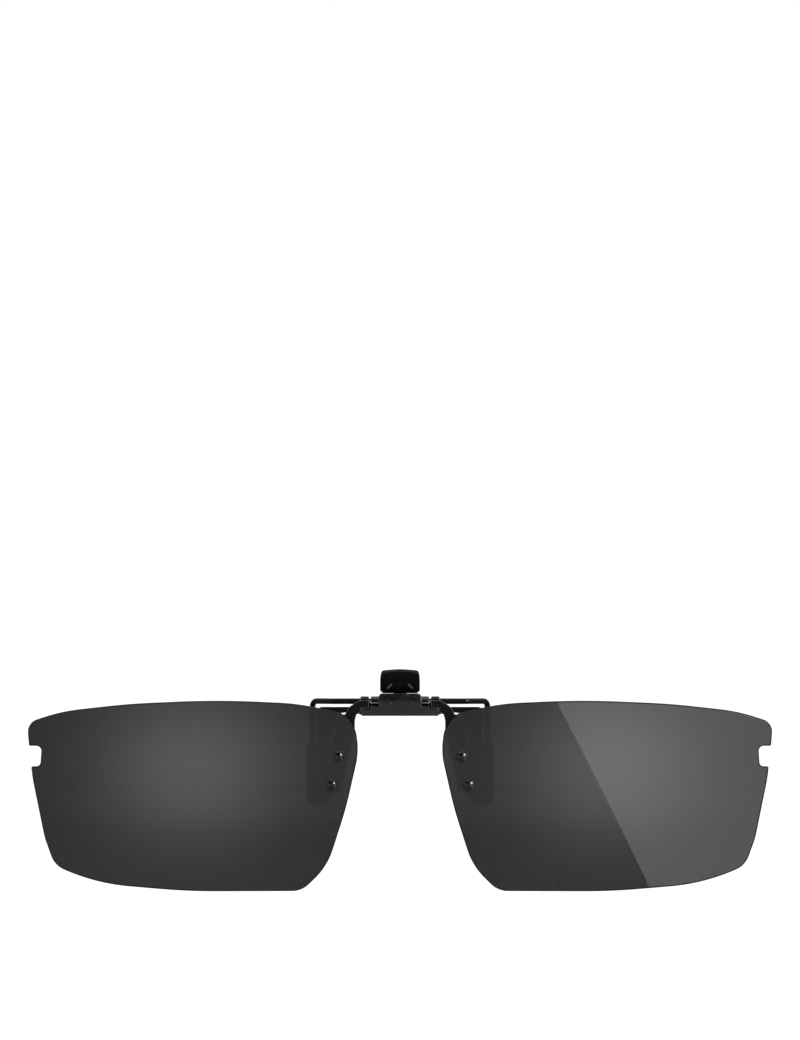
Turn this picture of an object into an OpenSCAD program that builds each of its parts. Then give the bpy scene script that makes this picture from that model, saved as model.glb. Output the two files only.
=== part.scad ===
// Clip-on sun lenses for spectacles, with a flip-up hinge and a sprung rear claw.
// X runs to the right of the front view, Y runs back towards the wearer, Z is up.
// The origin is in the middle, on the grip plane of the front claws, at the flip hinge's height.
// Left and right are as seen from the front. Millimetres.

/* [Lenses] */
// Thickness of each lens
lens_t = 1.2; // [1:0.1:1.4]
// Radius of the sphere that the lens's front follows
lens_r = 132; // [120:1:150]
// Turn of each lens round the wearer's face, in degrees
face_form = 4; // [3:0.5:5]
// Diameter of a lens rivet's domed head
rivet_head_d = 1.95; // [1.6:0.05:2.2]

/* [Flip hinge] */
// Diameter of the flip shaft
shaft_d = 0.65; // [0.5:0.05:0.7]
// Running clearance of the shaft in its bushes, on the diameter
shaft_play = 0.06; // [0.04:0.01:0.1]
// Outside diameter of the arms' rolled barrels and of the bridge's lugs
barrel_d = 2.2; // [1.9:0.1:2.3]
// Width of the bridge from end to end
bridge_w = 13.2; // [12.8:0.1:13.2]

/* [Rear claw] */
// Diameter of the claw wire
wire_d = 1.0; // [0.8:0.05:1]
// Clear space between the front and the rear sleeves at rest
grip_gap = 2.2; // [2.1:0.1:2.6]
// Forward lean of the thumb pad, in degrees
pad_lean = 25; // [20:1:28]
// Width of the thumb pad at its foot
pad_w = 6.8; // [6:0.1:7]

/* [Sleeves] */
// Length of each soft sleeve
sleeve_l = 10.9; // [10:0.1:12]
// Width of each soft sleeve
sleeve_w = 4.1; // [3.9:0.1:4.4]
// Thickness of each soft sleeve
sleeve_t = 1.4; // [1.3:0.1:1.6]

/* [Hidden] */
$fn = 64;

// Places of the two axes: the flip shaft lies in front of the grip plane, the claw wire in it
flip_y = -3.0;
wire_z = 0.22;

// The lens: its box centre, and the centre of the sphere that its front follows
lens_mid = [35.25, -15.8];
lens_front_y = flip_y - 4.02;
lens_c = [lens_mid.x - lens_r * sin(face_form), lens_front_y + lens_r * cos(face_form), lens_mid.y];
sphere_fn = 360;

// Stack behind the lens: a washer, then the arm's plate
washer_t = 0.3;
arm_t = 0.45;
rivet_d = 1.0;
rivet_places = [[10.4, -9.2], [11.6, -14.05]];

// Corners of the lens's outline as [x, z, corner radius], with a notch in the outer edge
lens_corners = [[7.5, -4.7, 4], [9.2, -1.85, 4], [17.5, -0.1, 40], [31, 0.5, 150], [46, -0.15, 120],
    [57.5, -1.45, 30], [63.5, -3.4, 2.2], [63.2, -7.35, 0.15], [61, -7.35, 0.9], [61.25, -10.8, 0.7],
    [62.8, -10.85, 0.15], [62.55, -13, 20], [60.5, -23, 12], [58.8, -27.7, 4], [51.8, -30.75, 35],
    [36, -32.05, 110], [16.7, -32, 4.2], [12.35, -27.8, 12], [9.2, -18, 60], [7, -8.4, 12]];

// Corners of the arm's riveting plate behind the lens, and of the flat neck from it to the barrel
arm_corners = [[9.4, -1.9, 0.6], [10.6, -2.6, 0.8], [11.5, -6.4, 6], [12.3, -10, 8], [13.4, -14.2, 1.7],
    [12.3, -16, 1.4], [9.9, -15.2, 1.6], [9.4, -11.5, 6], [7.9, -6, 6], [7.65, -3.4, 1], [8.2, -2.2, 0.6]];
barrel_in = 5.3;
barrel_out = 6.74;
neck_corners = [[barrel_in, 0.44, 0.02], [6.9, 0.42, 1.2], [8.65, -0.68, 1.8], [9.55, -2.4, 0.6],
    [9.3, -4.6, 0.5], [8, -5.2, 0.5], [7.65, -4.4, 1], [7.7, -3.2, 1.5], [7.42, -1.95, 0.6],
    [6.7, -1.62, 0.12], [6.68, -0.93, 0.05], [barrel_in, -0.93, 0.02]];

// Points of the arc of radius r that rounds the corner b between a and c
function unit(v) = v / norm(v);
function corner(a, b, c, r) =
    let (u = unit(a - b), v = unit(c - b), half = acos(u * v) / 2,
         mid = b + unit(u + v) * r / sin(half), from = b + u * r / tan(half) - mid,
         start = atan2(from.y, from.x), cross_uv = u.x * v.y - u.y * v.x,
         turn = (cross_uv > 0 ? -1 : 1) * (180 - 2 * half),
         steps = max(1, ceil(abs(turn) / 15), ceil(r * abs(turn) * PI / 180 / 4)))
    [for (i = [0:steps]) mid + r * [cos(start + turn * i / steps), sin(start + turn * i / steps)]];
function flat(p) = [p[0], p[1]];
function rounded(list) = let (n = len(list))
    [for (i = [0:n - 1]) each
        corner(flat(list[(i + n - 1) % n]), flat(list[i]), flat(list[(i + 1) % n]), list[i][2])];
function mirrored(list) = [for (i = [len(list) - 1:-1:0]) [-list[i][0], list[i][1], list[i][2]]];
function both_sides(list) = concat(list, mirrored(list));

// A flat outline in X and Z, given thickness from y0 to y1
module upright(points, y0, y1) {
    translate([0, y1, 0]) rotate([90, 0, 0]) linear_extrude(y1 - y0) polygon(points);
}
// A rod along X
module rod_x(d, x0, x1) {
    translate([x0, 0, 0]) rotate([0, 90, 0]) cylinder(d = d, h = x1 - x0);
}
// A box given by its lowest and highest corners
module block(low, high) {
    translate(low) cube(high - low);
}
// Draws its children on the right, or mirrored on the left
module on_side(side) {
    mirror([side < 0 ? 1 : 0, 0, 0]) children();
}
module at_flip_axis() {
    translate([0, flip_y, 0]) children();
}
module at_wire_axis() {
    translate([0, 0, wire_z]) children();
}

// ---- Lenses and what is riveted to them ----

// Stands on the lens's front surface at a place [x, z], with +Z along the surface's outward normal
module on_lens(place) {
    dx = place.x - lens_c.x;
    dz = place.y - lens_c.z;
    rise = asin(dz / lens_r);
    turn = atan2(dx, sqrt(lens_r * lens_r - dx * dx - dz * dz));
    translate(lens_c) rotate([90 - rise, 0, turn]) translate([0, 0, lens_r]) children();
}

// A sheet cut to an outline, whose faces lie at two depths behind the lens's front surface
module lens_sheet(corners, depth0, depth1) {
    difference() {
        intersection() {
            upright(rounded(corners), lens_front_y - 2, 8);
            translate(lens_c) sphere(r = lens_r - depth0, $fn = sphere_fn);
        }
        translate(lens_c) sphere(r = lens_r - depth1, $fn = sphere_fn);
    }
}

module lens(side) {
    hole_d = rivet_d + 0.1;
    color([0.25, 0.26, 0.26, 0.9]) on_side(side) difference() {
        lens_sheet(lens_corners, 0, lens_t);
        for (p = rivet_places) on_lens(p) translate([0, 0, -3]) cylinder(d = hole_d, h = 4);
    }
}

module lens_arm(side) {
    plate_depth = lens_t + washer_t;
    neck_front = -barrel_d / 2;
    color("#26262b") on_side(side) difference() {
        union() {
            lens_sheet(arm_corners, plate_depth, plate_depth + arm_t);
            at_flip_axis() rod_x(barrel_d, barrel_in, barrel_out);
            at_flip_axis() upright(rounded(neck_corners), neck_front, neck_front + arm_t);
        }
        at_flip_axis() rod_x(shaft_d, barrel_in - 1, barrel_out + 1);
        for (p = rivet_places) on_lens(p) translate([0, 0, -4]) cylinder(d = rivet_d, h = 5);
    }
}

module lens_rivets(side) {
    dome_r = 1.3;
    dome_drop = sqrt(dome_r * dome_r - rivet_head_d * rivet_head_d / 4);
    tail_z = lens_t + washer_t + arm_t + 0.01;
    tail_h = 0.35;
    color("#101012") on_side(side) for (p = rivet_places) on_lens(p) {
        translate([0, 0, -tail_z - tail_h]) cylinder(d = 1.6, h = tail_h);
        translate([0, 0, -tail_z]) cylinder(d = rivet_d, h = tail_z);
        intersection() {
            translate([0, 0, -dome_drop]) sphere(r = dome_r);
            cylinder(d = rivet_head_d, h = 1);
        }
    }
}

module lens_washers(side) {
    skin = 0.01;
    color("#e8e6dc") on_side(side) for (p = rivet_places) on_lens(p)
        translate([0, 0, -lens_t - washer_t + skin]) difference() {
            cylinder(d = 1.9, h = washer_t - 2 * skin);
            translate([0, 0, -1]) cylinder(d = rivet_d, h = 2);
        }
}

// ---- Flip hinge ----

module flip_shaft() {
    cam_l = 5.2;
    cam_d = 1.0;
    flats = 0.86;
    color("silver") at_flip_axis() {
        rod_x(shaft_d, cam_l / 2, barrel_out);
        rod_x(shaft_d, -barrel_out, -cam_l / 2);
        intersection() {
            rod_x(cam_d, -cam_l / 2, cam_l / 2);
            cube([cam_l, flats, flats], center = true);
        }
    }
}

// Front and back of the bridge's front plate, and the leaf spring behind it, from the flip axis
plate_front = -1.25;
plate_back = -0.75;
leaf_t = 0.15;
spot_x = 1.75;
spot_z = -0.35;

module detent_spring() {
    leaf = [[2.4, 0, 0.15], [2.4, -1.1, 0.2]];
    color("lightsteelblue") at_flip_axis() difference() {
        upright(rounded(both_sides(leaf)), plate_back, plate_back + leaf_t);
        for (x = [-spot_x, spot_x]) translate([x, 0, spot_z]) rotate([90, 0, 0]) cylinder(d = 0.5, h = 4);
    }
}

module bridge_rivets() {
    head_h = 0.06;
    tail_h = 0.08;
    leaf_back = plate_back + leaf_t;
    color("#1c1c20") at_flip_axis() for (x = [-spot_x, spot_x]) translate([x, 0, spot_z]) rotate([90, 0, 0]) {
        translate([0, 0, -plate_front]) cylinder(d = 0.75, h = head_h);
        translate([0, 0, -leaf_back]) cylinder(d = 0.5, h = leaf_back - plate_front);
        translate([0, 0, -leaf_back - tail_h]) cylinder(d = 0.7, h = tail_h);
    }
}

bush_d = 1.2;
bush_l = 0.7;
lug_in = 2.85;
lug_out = 4.95;

module hinge_bush(side) {
    color("gainsboro") on_side(side) at_flip_axis() difference() {
        rod_x(bush_d, lug_in, lug_in + bush_l);
        rod_x(shaft_d + shaft_play, lug_in - 1, lug_out + 1);
    }
}

// Floor of the bridge, from the flip axis
floor_z0 = -2.24;
floor_z1 = -1.7;
floor_back = 1.85;

module bridge_plate() {
    w = bridge_w / 2;
    face = [[3.62, 1.6, 0.6], [3.62, -0.56, 0.1], [lug_out, -0.58, 0.08], [lug_out, -1.03, 0.05],
        [w, -1.05, 0.1], [w, -1.9, 0.3], [w - 0.05, floor_z0, 0.1]];
    // Section of the folded sheet in Y and Z: upright face, then a soft bend, and the top leant back
    top_y = plate_front + 0.6;
    sheet_t = plate_back - plate_front;
    bend = [[0, 0.02], [0.03, 0.3], [0.12, 0.62], [0.27, 0.95]];
    section = concat([[plate_front, floor_z0], [plate_back, floor_z0]],
        [for (p = bend) [plate_back + p[0], p[1]]],
        [[top_y + sheet_t, 1.45], [top_y + 0.1, 1.6], [top_y, 1.55]],
        [for (i = [3:-1:0]) [plate_front + bend[i][0], bend[i][1]]]);
    window_z0 = -0.6;
    window_z1 = 0.33;
    color("#2c2b31") at_flip_axis() difference() {
        union() {
            intersection() {
                upright(rounded(both_sides(face)), -2, 2);
                translate([-w - 1, 0, 0]) rotate([90, 0, 90]) linear_extrude(2 * w + 2) polygon(section);
            }
            block([-w + 0.2, plate_front + 0.1, floor_z0], [w - 0.2, floor_back, floor_z1]);
            for (s = [-1, 1]) on_side(s) {
                rod_x(barrel_d, lug_in, lug_out);
                block([3.5, -0.3, floor_z1 - 0.2], [lug_out, 0.5, -0.8]);
            }
        }
        for (s = [-1, 1]) on_side(s) {
            rod_x(bush_d, lug_in - 0.3, lug_out + 1);
            block([3.65, -2, window_z0], [lug_out + 1, -0.3, window_z1]);
            translate([spot_x, 0, spot_z]) rotate([90, 0, 0]) cylinder(d = 0.5, h = 4);
        }
    }
}

// ---- Fixed front claws ----

strap_y0 = -1.15;
strap_y1 = -0.65;
sleeve_x = 13.95;
sleeve_top = -6.7;
knuckle_in = 3.5;
knuckle_out = 4.8;
knuckle_d = 1.5;
tongue = [[15.3, -6.5, 0.1], [15.3, -16.9, 1.2], [12.3, -16.9, 1.2], [12.3, -6.5, 0.1]];

module claw_frame() {
    half = concat([[3.35, -0.8, 0.1], [3.35, 0.85, 0.2], [4.75, 0.85, 0.3], [5.3, -0.5, 0.5], [8, -0.73, 0.8],
        [13.9, -0.73, 0.8], [14.3, -2, 0.8], [13.95, -6.3, 0.1]], tongue,
        [[11.6, -6.1, 0.3], [10.55, -1.85, 0.4], [8.4, -1.6, 0.8], [5.9, floor_z0, 0.5]]);
    color("#232328") difference() {
        union() {
            upright(rounded(both_sides(half)), strap_y0, strap_y1);
            for (s = [-1, 1]) on_side(s) at_wire_axis() rod_x(knuckle_d, knuckle_in, knuckle_out);
        }
        at_wire_axis() rod_x(wire_d + 0.06, -8, 8);
    }
}

// Outline of a sleeve: square shoulders and a full round foot
sleeve_half = sleeve_w / 2;
sleeve_outline = [[sleeve_x + sleeve_half, sleeve_top, 0.5],
    [sleeve_x + sleeve_half, sleeve_top - sleeve_l, sleeve_half - 0.1],
    [sleeve_x - sleeve_half, sleeve_top - sleeve_l, sleeve_half - 0.1],
    [sleeve_x - sleeve_half, sleeve_top, 0.5]];

module front_sleeve(side) {
    color("#17171a") on_side(side) difference() {
        upright(rounded(sleeve_outline), -sleeve_t, 0);
        upright(rounded([for (p = tongue) [p[0], p[1] > -8 ? 0 : p[1], p[2]]]), strap_y0, strap_y1);
    }
}

// ---- Sprung rear claw ----

// Straight pieces and round bends of a wire through the points [x, y, z, bend radius]
function xyz(p) = [p[0], p[1], p[2]];
function cut_back(a, b, c, r) = r / tan(acos(unit(a - b) * unit(c - b)) / 2);
module placed(o, e1, e2, e3) {
    multmatrix([[e1.x, e2.x, e3.x, o.x], [e1.y, e2.y, e3.y, o.y], [e1.z, e2.z, e3.z, o.z], [0, 0, 0, 1]])
        children();
}
module bent_wire(path, d) {
    // Each bend is a hair thicker than the straights, which run a little way into it
    swell = 0.02;
    lap = 0.08;
    n = len(path);
    cut = [for (i = [0:n - 1]) i == 0 || i == n - 1 ? 0
        : cut_back(xyz(path[i - 1]), xyz(path[i]), xyz(path[i + 1]), path[i][3])];
    for (i = [0:n - 2]) {
        a = xyz(path[i]);
        b = xyz(path[i + 1]);
        along = unit(b - a);
        aside = unit(cross(along, abs(along.z) < 0.9 ? [0, 0, 1] : [0, 1, 0]));
        start = i == 0 ? 0 : cut[i] - lap;
        end = i == n - 2 ? 0 : cut[i + 1] - lap;
        placed(a + along * start, aside, cross(along, aside), along)
            cylinder(d = d, h = norm(b - a) - start - end);
    }
    for (i = [1:n - 2]) {
        u = unit(xyz(path[i - 1]) - xyz(path[i]));
        v = unit(xyz(path[i + 1]) - xyz(path[i]));
        r = path[i][3];
        half = acos(u * v) / 2;
        mid = xyz(path[i]) + unit(u + v) * r / sin(half);
        out = unit(xyz(path[i]) + u * cut[i] - mid);
        placed(mid, out, -u, cross(out, -u))
            rotate_extrude(angle = 180 - 2 * half) translate([r, 0]) circle(d = d + swell);
    }
}

leg_y = grip_gap + sleeve_t / 2;
leg_foot = -16.7;
leg_out = 14.9;
leg_in = 13;
leg_bend = (leg_out - leg_in) / 2;
wire_half = [[11.3, 0, wire_z, 1], [leg_out, leg_y, wire_z, 0.9], [leg_out, leg_y, leg_foot, leg_bend],
    [leg_in, leg_y, leg_foot, leg_bend], [leg_in, leg_y, -8.2, 0]];
wire_path = concat([for (i = [4:-1:0]) [-wire_half[i][0], wire_half[i][1], wire_half[i][2], wire_half[i][3]]],
    wire_half);

module claw_wire() {
    color("#2a2a2e") bent_wire(wire_path, wire_d);
}

module rear_sleeve(side) {
    pocket_t = wire_d + 0.04;
    pocket_half = (leg_out - leg_in + pocket_t) / 2;
    pocket_foot = leg_foot - pocket_t / 2;
    pocket = [[sleeve_x + pocket_half, 0, 0.1], [sleeve_x + pocket_half, pocket_foot, pocket_half - 0.02],
        [sleeve_x - pocket_half, pocket_foot, pocket_half - 0.02], [sleeve_x - pocket_half, 0, 0.1]];
    color("#17171a") on_side(side) difference() {
        upright(rounded(sleeve_outline), grip_gap, grip_gap + sleeve_t);
        upright(rounded(pocket), leg_y - pocket_t / 2, leg_y + pocket_t / 2);
    }
}

lever_t = 0.5;
lever_barrel_d = 1.6;
paddle = [[3.15, 1.6, 0.15], [2.7, 2.2, 0.5], [2.4, 5.1, 0.3], [-2.4, 5.1, 0.3], [-2.7, 2.2, 0.5],
    [-3.15, 1.6, 0.15]];

module leaning() {
    at_wire_axis() rotate([pad_lean, 0, 0]) children();
}

module thumb_lever() {
    stem = 1.1;
    color("silver") difference() {
        leaning() {
            rod_x(lever_barrel_d, -1.2, 1.2);
            block([-stem, -lever_t / 2, 0.3], [stem, lever_t / 2, 2.6]);
            upright(rounded(paddle), -lever_t / 2, lever_t / 2);
        }
        at_wire_axis() rod_x(wire_d, -2, 2);
    }
}

module thumb_pad() {
    foot = pad_w / 2;
    top = foot - 0.23;
    outline = [[foot, 1.85, 0.6], [foot - 0.02, 4.3, 4], [top, 5.6, 0.6], [0, 5.88, 12], [-top, 5.6, 0.6],
        [0.02 - foot, 4.3, 4], [-foot, 1.85, 0.6]];
    color("#141417") leaning() difference() {
        upright(rounded(outline), -0.65, 0.65);
        upright(rounded(paddle), -lever_t / 2, lever_t / 2);
        block([-1.1, -lever_t / 2, 1], [1.1, lever_t / 2, 3]);
    }
}

module torsion_spring(side) {
    turns = 5;
    spring_wire = 0.3;
    pitch = 0.34;
    coil_r = 0.7;
    first = 1.5;
    last = first + pitch * (turns - 1);
    color("slategray") on_side(side) at_wire_axis() {
        for (i = [0:turns - 1]) translate([first + pitch * i, 0, 0]) rotate([0, 90, 0])
            rotate_extrude() translate([coil_r, 0]) circle(d = spring_wire, $fn = 32);
        difference() {
            rod_x(2 * coil_r + 0.1, first, last);
            rod_x(2 * coil_r - 0.1, first - 1, last + 1);
        }
        translate([last, coil_r, -1.7]) cylinder(d = spring_wire - 0.02, h = 1.7, $fn = 32);
    }
}

lens(-1);  // left_lens
lens(1);  // right_lens
lens_arm(-1);  // left_lens_arm
lens_arm(1);  // right_lens_arm
lens_rivets(-1);  // left_rivets
lens_rivets(1);  // right_rivets
lens_washers(-1);  // left_lens_washers
lens_washers(1);  // right_lens_washers
flip_shaft();
detent_spring();
bridge_rivets();
hinge_bush(-1);  // left_hinge_bush
hinge_bush(1);  // right_hinge_bush
bridge_plate();
claw_frame();
front_sleeve(-1);  // left_front_sleeve
front_sleeve(1);  // right_front_sleeve
claw_wire();
thumb_lever();
thumb_pad();
torsion_spring(-1);  // left_torsion_spring
torsion_spring(1);  // right_torsion_spring
rear_sleeve(-1);  // left_rear_sleeve
rear_sleeve(1);  // right_rear_sleeve
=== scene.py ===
import math

import bmesh
import bpy
from mathutils import Matrix, Vector
from mathutils.geometry import delaunay_2d_cdt


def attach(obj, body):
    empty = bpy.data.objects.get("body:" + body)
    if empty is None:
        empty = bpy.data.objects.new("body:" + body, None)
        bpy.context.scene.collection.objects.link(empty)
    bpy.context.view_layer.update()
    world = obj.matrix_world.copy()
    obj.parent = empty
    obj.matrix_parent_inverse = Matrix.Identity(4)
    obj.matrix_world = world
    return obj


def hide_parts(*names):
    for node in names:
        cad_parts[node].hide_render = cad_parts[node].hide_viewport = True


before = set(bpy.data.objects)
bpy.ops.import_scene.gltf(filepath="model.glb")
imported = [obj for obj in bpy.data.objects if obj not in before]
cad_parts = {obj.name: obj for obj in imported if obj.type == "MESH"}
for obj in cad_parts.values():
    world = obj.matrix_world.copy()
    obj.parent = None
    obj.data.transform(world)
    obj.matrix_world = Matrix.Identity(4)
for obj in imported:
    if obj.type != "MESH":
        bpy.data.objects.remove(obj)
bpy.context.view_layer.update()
mm = 0.001


# ---- Studio ----
# A white sweep under even light, with a level camera far in front of the clip-on, which hangs
# in the low part of a tall picture. The room behind the camera is dimmer than the white sweep.
view_height = 0.1772
view_distance = 3.0
view_centre_z = 0.0311
floor_z = -0.075
sensor = 36.0
room_front, room_back = 0.5, 1.0        # the room's brightness behind the camera and behind the clip-on
square = ((-1, -1), (1, -1), (1, 1), (-1, 1))

camera = bpy.data.objects.new("camera", bpy.data.cameras.new("camera"))
bpy.context.collection.objects.link(camera)
camera.data.sensor_width = sensor
camera.data.lens = sensor * view_distance / view_height
camera.data.clip_end = 50
camera.location = (0, -view_distance, view_centre_z)
camera.rotation_euler = (math.radians(90), 0, 0)
bpy.context.scene.camera = camera
bpy.context.scene.view_settings.view_transform = "Standard"


def node(tree, kind, inputs=(), **settings):
    """A node added to a tree, with its inputs set to a value or linked from a socket."""
    made = tree.nodes.new(kind)
    for key, value in settings.items():
        setattr(made, key, value)
    for key, value in dict(inputs).items():
        if isinstance(value, bpy.types.NodeSocket):
            tree.links.new(value, made.inputs[key])
        else:
            made.inputs[key].default_value = value
    return made


def maths(tree, operation, *values, clamp=False):
    return node(tree, "ShaderNodeMath", enumerate(values), operation=operation, use_clamp=clamp).outputs[0]


def ramp(tree, value, lo, hi, to_lo=0.0, to_hi=1.0):
    """A value taken smoothly from one range to another."""
    return node(tree, "ShaderNodeMapRange", {"Value": value, 1: lo, 2: hi, 3: to_lo, 4: to_hi},
                interpolation_type="SMOOTHSTEP").outputs[0]


world = bpy.data.worlds.new("white room")
world.use_nodes = True
room = world.node_tree
towards = node(room, "ShaderNodeSeparateXYZ", {0: node(room, "ShaderNodeTexCoord").outputs["Generated"]})
glow = ramp(room, towards.outputs["Y"], -1.0, 0.3, room_front, room_back)
seen = node(room, "ShaderNodeLightPath").outputs["Is Camera Ray"]
room.links.new(maths(room, "MAXIMUM", glow, seen), room.nodes["Background"].inputs["Strength"])
room.nodes["Background"].inputs["Color"].default_value = (1, 1, 1, 1)
bpy.context.scene.world = world


def piece(name, mesh):
    thing = bpy.data.objects.new(name, mesh)
    bpy.context.collection.objects.link(thing)
    return thing


def soft_light(name, place, aim, size, power):
    """A rectangular light that shows only in reflections."""
    light = bpy.data.lights.new(name, "AREA")
    light.shape = "RECTANGLE"
    light.size, light.size_y = size
    light.energy = power
    lamp = piece(name, light)
    lamp.location = place
    lamp.rotation_euler = (Vector(aim) - Vector(place)).to_track_quat("-Z", "Y").to_euler()
    lamp.visible_camera = False
    lamp.visible_diffuse = False


soft_light("overhead box", (0, -0.05, 0.6), (0, 0, 0), (0.6, 0.3), 1.2)
soft_light("right box", (0.5, -0.42, 0.48), (0, 0, 0), (0.34, 0.36), 14.0)


def finish_of(name, colour, roughness, specular=0.5):
    """A material with its node tree and its Principled shader."""
    material = bpy.data.materials.new(name)
    material.use_nodes = True
    shader = material.node_tree.nodes["Principled BSDF"]
    shader.inputs["Base Color"].default_value = (*colour, 1)
    shader.inputs["Roughness"].default_value = roughness
    shader.inputs["Specular IOR Level"].default_value = specular
    return material, material.node_tree, shader


def flat_sheet(name, corners, material):
    mesh = bpy.data.meshes.new(name)
    mesh.from_pydata(corners, [], [tuple(range(len(corners)))])
    mesh.materials.append(material)
    sheet = piece(name, mesh)
    return sheet


floor_reach = 30
# Painted light: the floor glows a little, and its tone is white to the camera but darker towards the camera
# side for everything else, following the room's light.
floor_paint, paper, floor_shader = finish_of("white paper with painted glow", (0.9, 0.9, 0.9), 0.9, 0.0)
floor_shader.inputs["Emission Strength"].default_value = 0.25
paper_place = node(paper, "ShaderNodeSeparateXYZ", {0: node(paper, "ShaderNodeTexCoord").outputs["Object"]})
paper_shade = ramp(paper, paper_place.outputs["Y"], -0.6, 0.5, room_front, room_back)
paper_seen = node(paper, "ShaderNodeLightPath").outputs["Is Camera Ray"]
paper_light = maths(paper, "MAXIMUM", paper_shade, paper_seen)
paper_tone = node(paper, "ShaderNodeCombineColor", dict.fromkeys((0, 1, 2), paper_light)).outputs[0]
paper.links.new(paper_tone, floor_shader.inputs["Base Color"])
paper.links.new(paper_tone, floor_shader.inputs["Emission Color"])
flat_sheet("floor", [(x * floor_reach, y * floor_reach, floor_z) for x, y in square], floor_paint)

# A black flag above the camera keeps the white room out of the surfaces that lean back
flag_half_width, flag_half_rise, flag_y, flag_z = 0.3, 0.17, -0.33, 0.42
flag_paint = finish_of("black flag", (0.01, 0.01, 0.01), 0.9, 0.1)[0]
flag = flat_sheet("flag", [(x * flag_half_width, flag_y + flag_half_rise * y, flag_z + flag_half_rise * y)
                           for x, y in square], flag_paint)
flag.visible_camera = False


# ---- Sun lenses ----
# Two smoke-grey polarising lenses, cut from a spherical plastic sheet 1.2 mm thick.
# The rim is ground square with a fine bevel and painted near black, as painted shade for light's long dark
# path through the edge; a notch is cut in the outer edge.
lens_radius = 132 * mm
lens_face_form = math.radians(4)
lens_thick = 1.2 * mm
lens_bevel = 0.2 * mm
flip_axis = Vector((0, -3.0, 0)) * mm
lens_middle_x, lens_middle_z = 35.25 * mm, -15.8 * mm
lens_front_y = flip_axis.y - 4.02 * mm
lens_centre = Vector((lens_middle_x - lens_radius * math.sin(lens_face_form),
                      lens_front_y + lens_radius * math.cos(lens_face_form), lens_middle_z))
# Corners of the outline: x, z and corner radius in millimetres
lens_corners = [(7.5, -4.7, 4), (9.2, -1.85, 4), (17.5, -0.1, 40), (31, 0.5, 150), (46, -0.15, 120),
                (57.5, -1.45, 30), (63.5, -3.4, 2.2), (63.2, -7.35, 0.3), (61, -7.35, 0.9),
                (61.25, -10.8, 0.7), (62.8, -10.85, 0.3), (62.55, -13, 20), (60.5, -23, 12),
                (58.8, -27.7, 4), (51.8, -30.75, 35), (36, -32.05, 110), (16.7, -32, 4.2),
                (12.35, -27.8, 12), (9.2, -18, 60), (7, -8.4, 12)]


def rounded(corners, turn_step=6, length_step=1.2):
    """The outline in metres, anticlockwise, with each corner rounded by an arc."""
    points = []
    for i, (x, z, radius) in enumerate(corners):
        here = Vector((x, z))
        before = (Vector(corners[i - 1][:2]) - here).normalized()
        after = (Vector(corners[(i + 1) % len(corners)][:2]) - here).normalized()
        half = before.angle(after) / 2
        middle = here + (before + after).normalized() * radius / math.sin(half)
        start = here + before * radius / math.tan(half) - middle
        turn = (math.pi - 2 * half) * (-1 if before.cross(after) > 0 else 1)
        steps = max(1, math.ceil(math.degrees(abs(turn)) / turn_step),
                    math.ceil(radius * abs(turn) / length_step))
        for k in range(steps + 1):
            points.append((middle + Matrix.Rotation(turn * k / steps, 2) @ start) * mm)
    area = sum(a.cross(b) for a, b in zip(points, points[1:] + points[:1]))
    return points if area > 0 else points[::-1]


def inset(points, amount):
    """The outline moved inwards by amount, point by point."""
    moved = []
    for i, point in enumerate(points):
        along = (points[(i + 1) % len(points)] - points[i - 1]).normalized()
        moved.append(point + Vector((-along.y, along.x)) * amount)
    return moved


def blank(mesh=None):
    """A bmesh, empty or from a mesh, whose points carry the attribute edge: scuffed and ground edges, and
    where highlights or shade are painted.
    """
    bm = bmesh.new()
    if mesh:
        bm.from_mesh(mesh)
    if "edge" not in bm.verts.layers.float:
        bm.verts.layers.float.new("edge")
    return bm


def mark_edge(bm, verts):
    layer = bm.verts.layers.float["edge"]
    for vert in verts:
        vert[layer] = 1.0


def finished_mesh(bm, name):
    """The mesh with smooth faces, whose flat faces stay flat up to their rounded edges."""
    for face in bm.faces:
        face.smooth = True
    mesh = bpy.data.meshes.new(name)
    bm.to_mesh(mesh)
    bm.free()
    holder = piece("holder", mesh)
    weighting = holder.modifiers.new("flat faces", "WEIGHTED_NORMAL")
    weighting.weight = 60
    result = bpy.data.meshes.new_from_object(holder.evaluated_get(bpy.context.evaluated_depsgraph_get()))
    bpy.data.objects.remove(holder)
    result.name = name
    return result


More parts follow.
